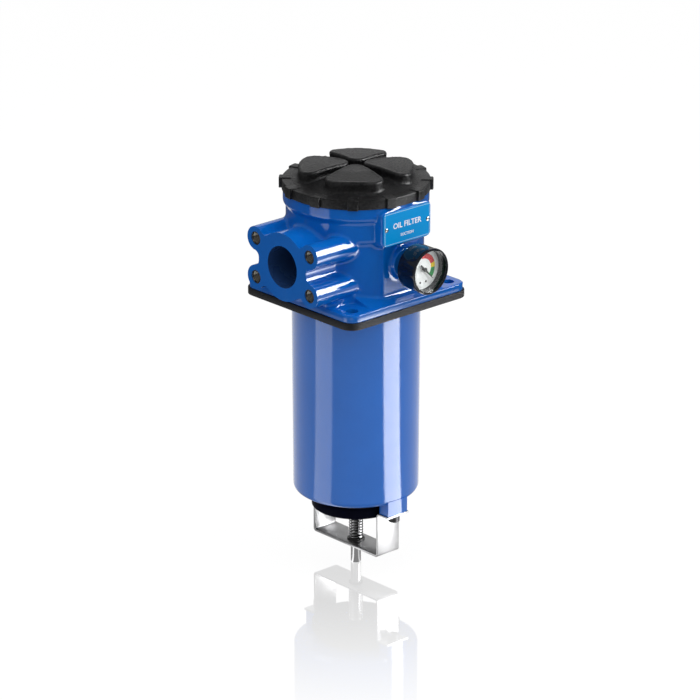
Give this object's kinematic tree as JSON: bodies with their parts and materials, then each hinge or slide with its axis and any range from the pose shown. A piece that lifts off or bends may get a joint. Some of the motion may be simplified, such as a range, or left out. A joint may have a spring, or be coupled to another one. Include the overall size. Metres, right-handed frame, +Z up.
{
  "type": "suction filter",
  "caption": "Tank-mounted oil suction filter: square flanged head with screw cover, side port and vacuum gauge, a long bowl and a spring-closed foot valve.",
  "frame": {"origin": "centre of the gasket's underside, where it seals on the tank, on the axis of the bowl", "axes": "+Z up along the bowl's axis, out of the tank; the suction port faces -Y and the gauge faces +X"},
  "size_m": [0.1677, 0.1585, 0.3808],
  "materials": {
    "blue_paint": "gloss",
    "bowl_paint": "gloss",
    "seal_rubber": "matt",
    "gasket_rubber": "matt",
    "insert_steel": "threaded",
    "plate_blue": "satin",
    "bright_steel": "bright",
    "cover_nylon": "grained",
    "cap_steel": "zinc plated",
    "mesh_steel": "woven",
    "valve_black": "satin",
    "spring_steel": "bright",
    "strip_steel": "rolled",
    "bush_black": "satin",
    "screw_black": "blackened",
    "gauge_brass": "turned",
    "gauge_black": "gloss",
    "dial_white": "satin",
    "pointer_black": "matt",
    "gauge_glass": "clear"
  },
  "bodies": {
    "root": {"head": "blue_paint", "bowl": "bowl_paint", "bowl_seal": "seal_rubber", "flange_gasket": "gasket_rubber", "thread_inserts": "insert_steel", "nameplate": "plate_blue", "nameplate_rivets": "bright_steel", "valve_bracket": "strip_steel", "guide_bush": "bush_black", "bracket_screws": "screw_black", "gauge_stub": "gauge_brass", "gauge_case": "gauge_black", "gauge_movement": "gauge_brass", "bourdon_tube": "gauge_brass", "gauge_dial": "dial_white", "dial_screws": "screw_black", "gauge_window": "gauge_glass", "gauge_bezel": "gauge_black"},
    "cover_ring": {"cover_seal": "seal_rubber"},
    "cover": {"cover": "cover_nylon"},
    "valve": {"valve_stem": "bright_steel", "valve_plate": "valve_black", "valve_seal": "seal_rubber", "stem_nut": "bright_steel", "valve_spring": "spring_steel", "element_bottom_cap": "cap_steel", "element_seal": "seal_rubber", "filter_mesh": "mesh_steel", "support_cage": "cap_steel", "element_top_cap": "cap_steel"},
    "pointer": {"gauge_pointer": "pointer_black"}
  },
  "joints": [
    {"name": "cover_lift", "type": "slide", "parent": "root", "child": "cover_ring", "axis": [0, 0, 1], "range_m": [0, 0.0051]},
    {"name": "cover_turn", "type": "hinge", "parent": "cover_ring", "child": "cover", "pos_m": [0, 0, 0.0995], "axis": [0, 0, 1], "range_deg": [0, 450]},
    {"name": "valve_lift", "type": "slide", "parent": "root", "child": "valve", "axis": [0, 0, 1], "range_m": [0, 0.0051], "deforming": ["valve_spring"]},
    {"name": "pointer_turn", "type": "hinge", "parent": "root", "child": "pointer", "pos_m": [0.087, 0, 0.0455], "axis": [1, 0, 0], "range_deg": [0, 270], "stiffness_Nm_per_rad": 0.002}
  ],
  "couplings": [
    {"joint": "cover_lift", "follows": "cover_turn", "m_per_rad": 0.00063662},
    {"joint": "valve_lift", "follows": "cover_turn", "m_per_rad": 0.00063662}
  ]
}
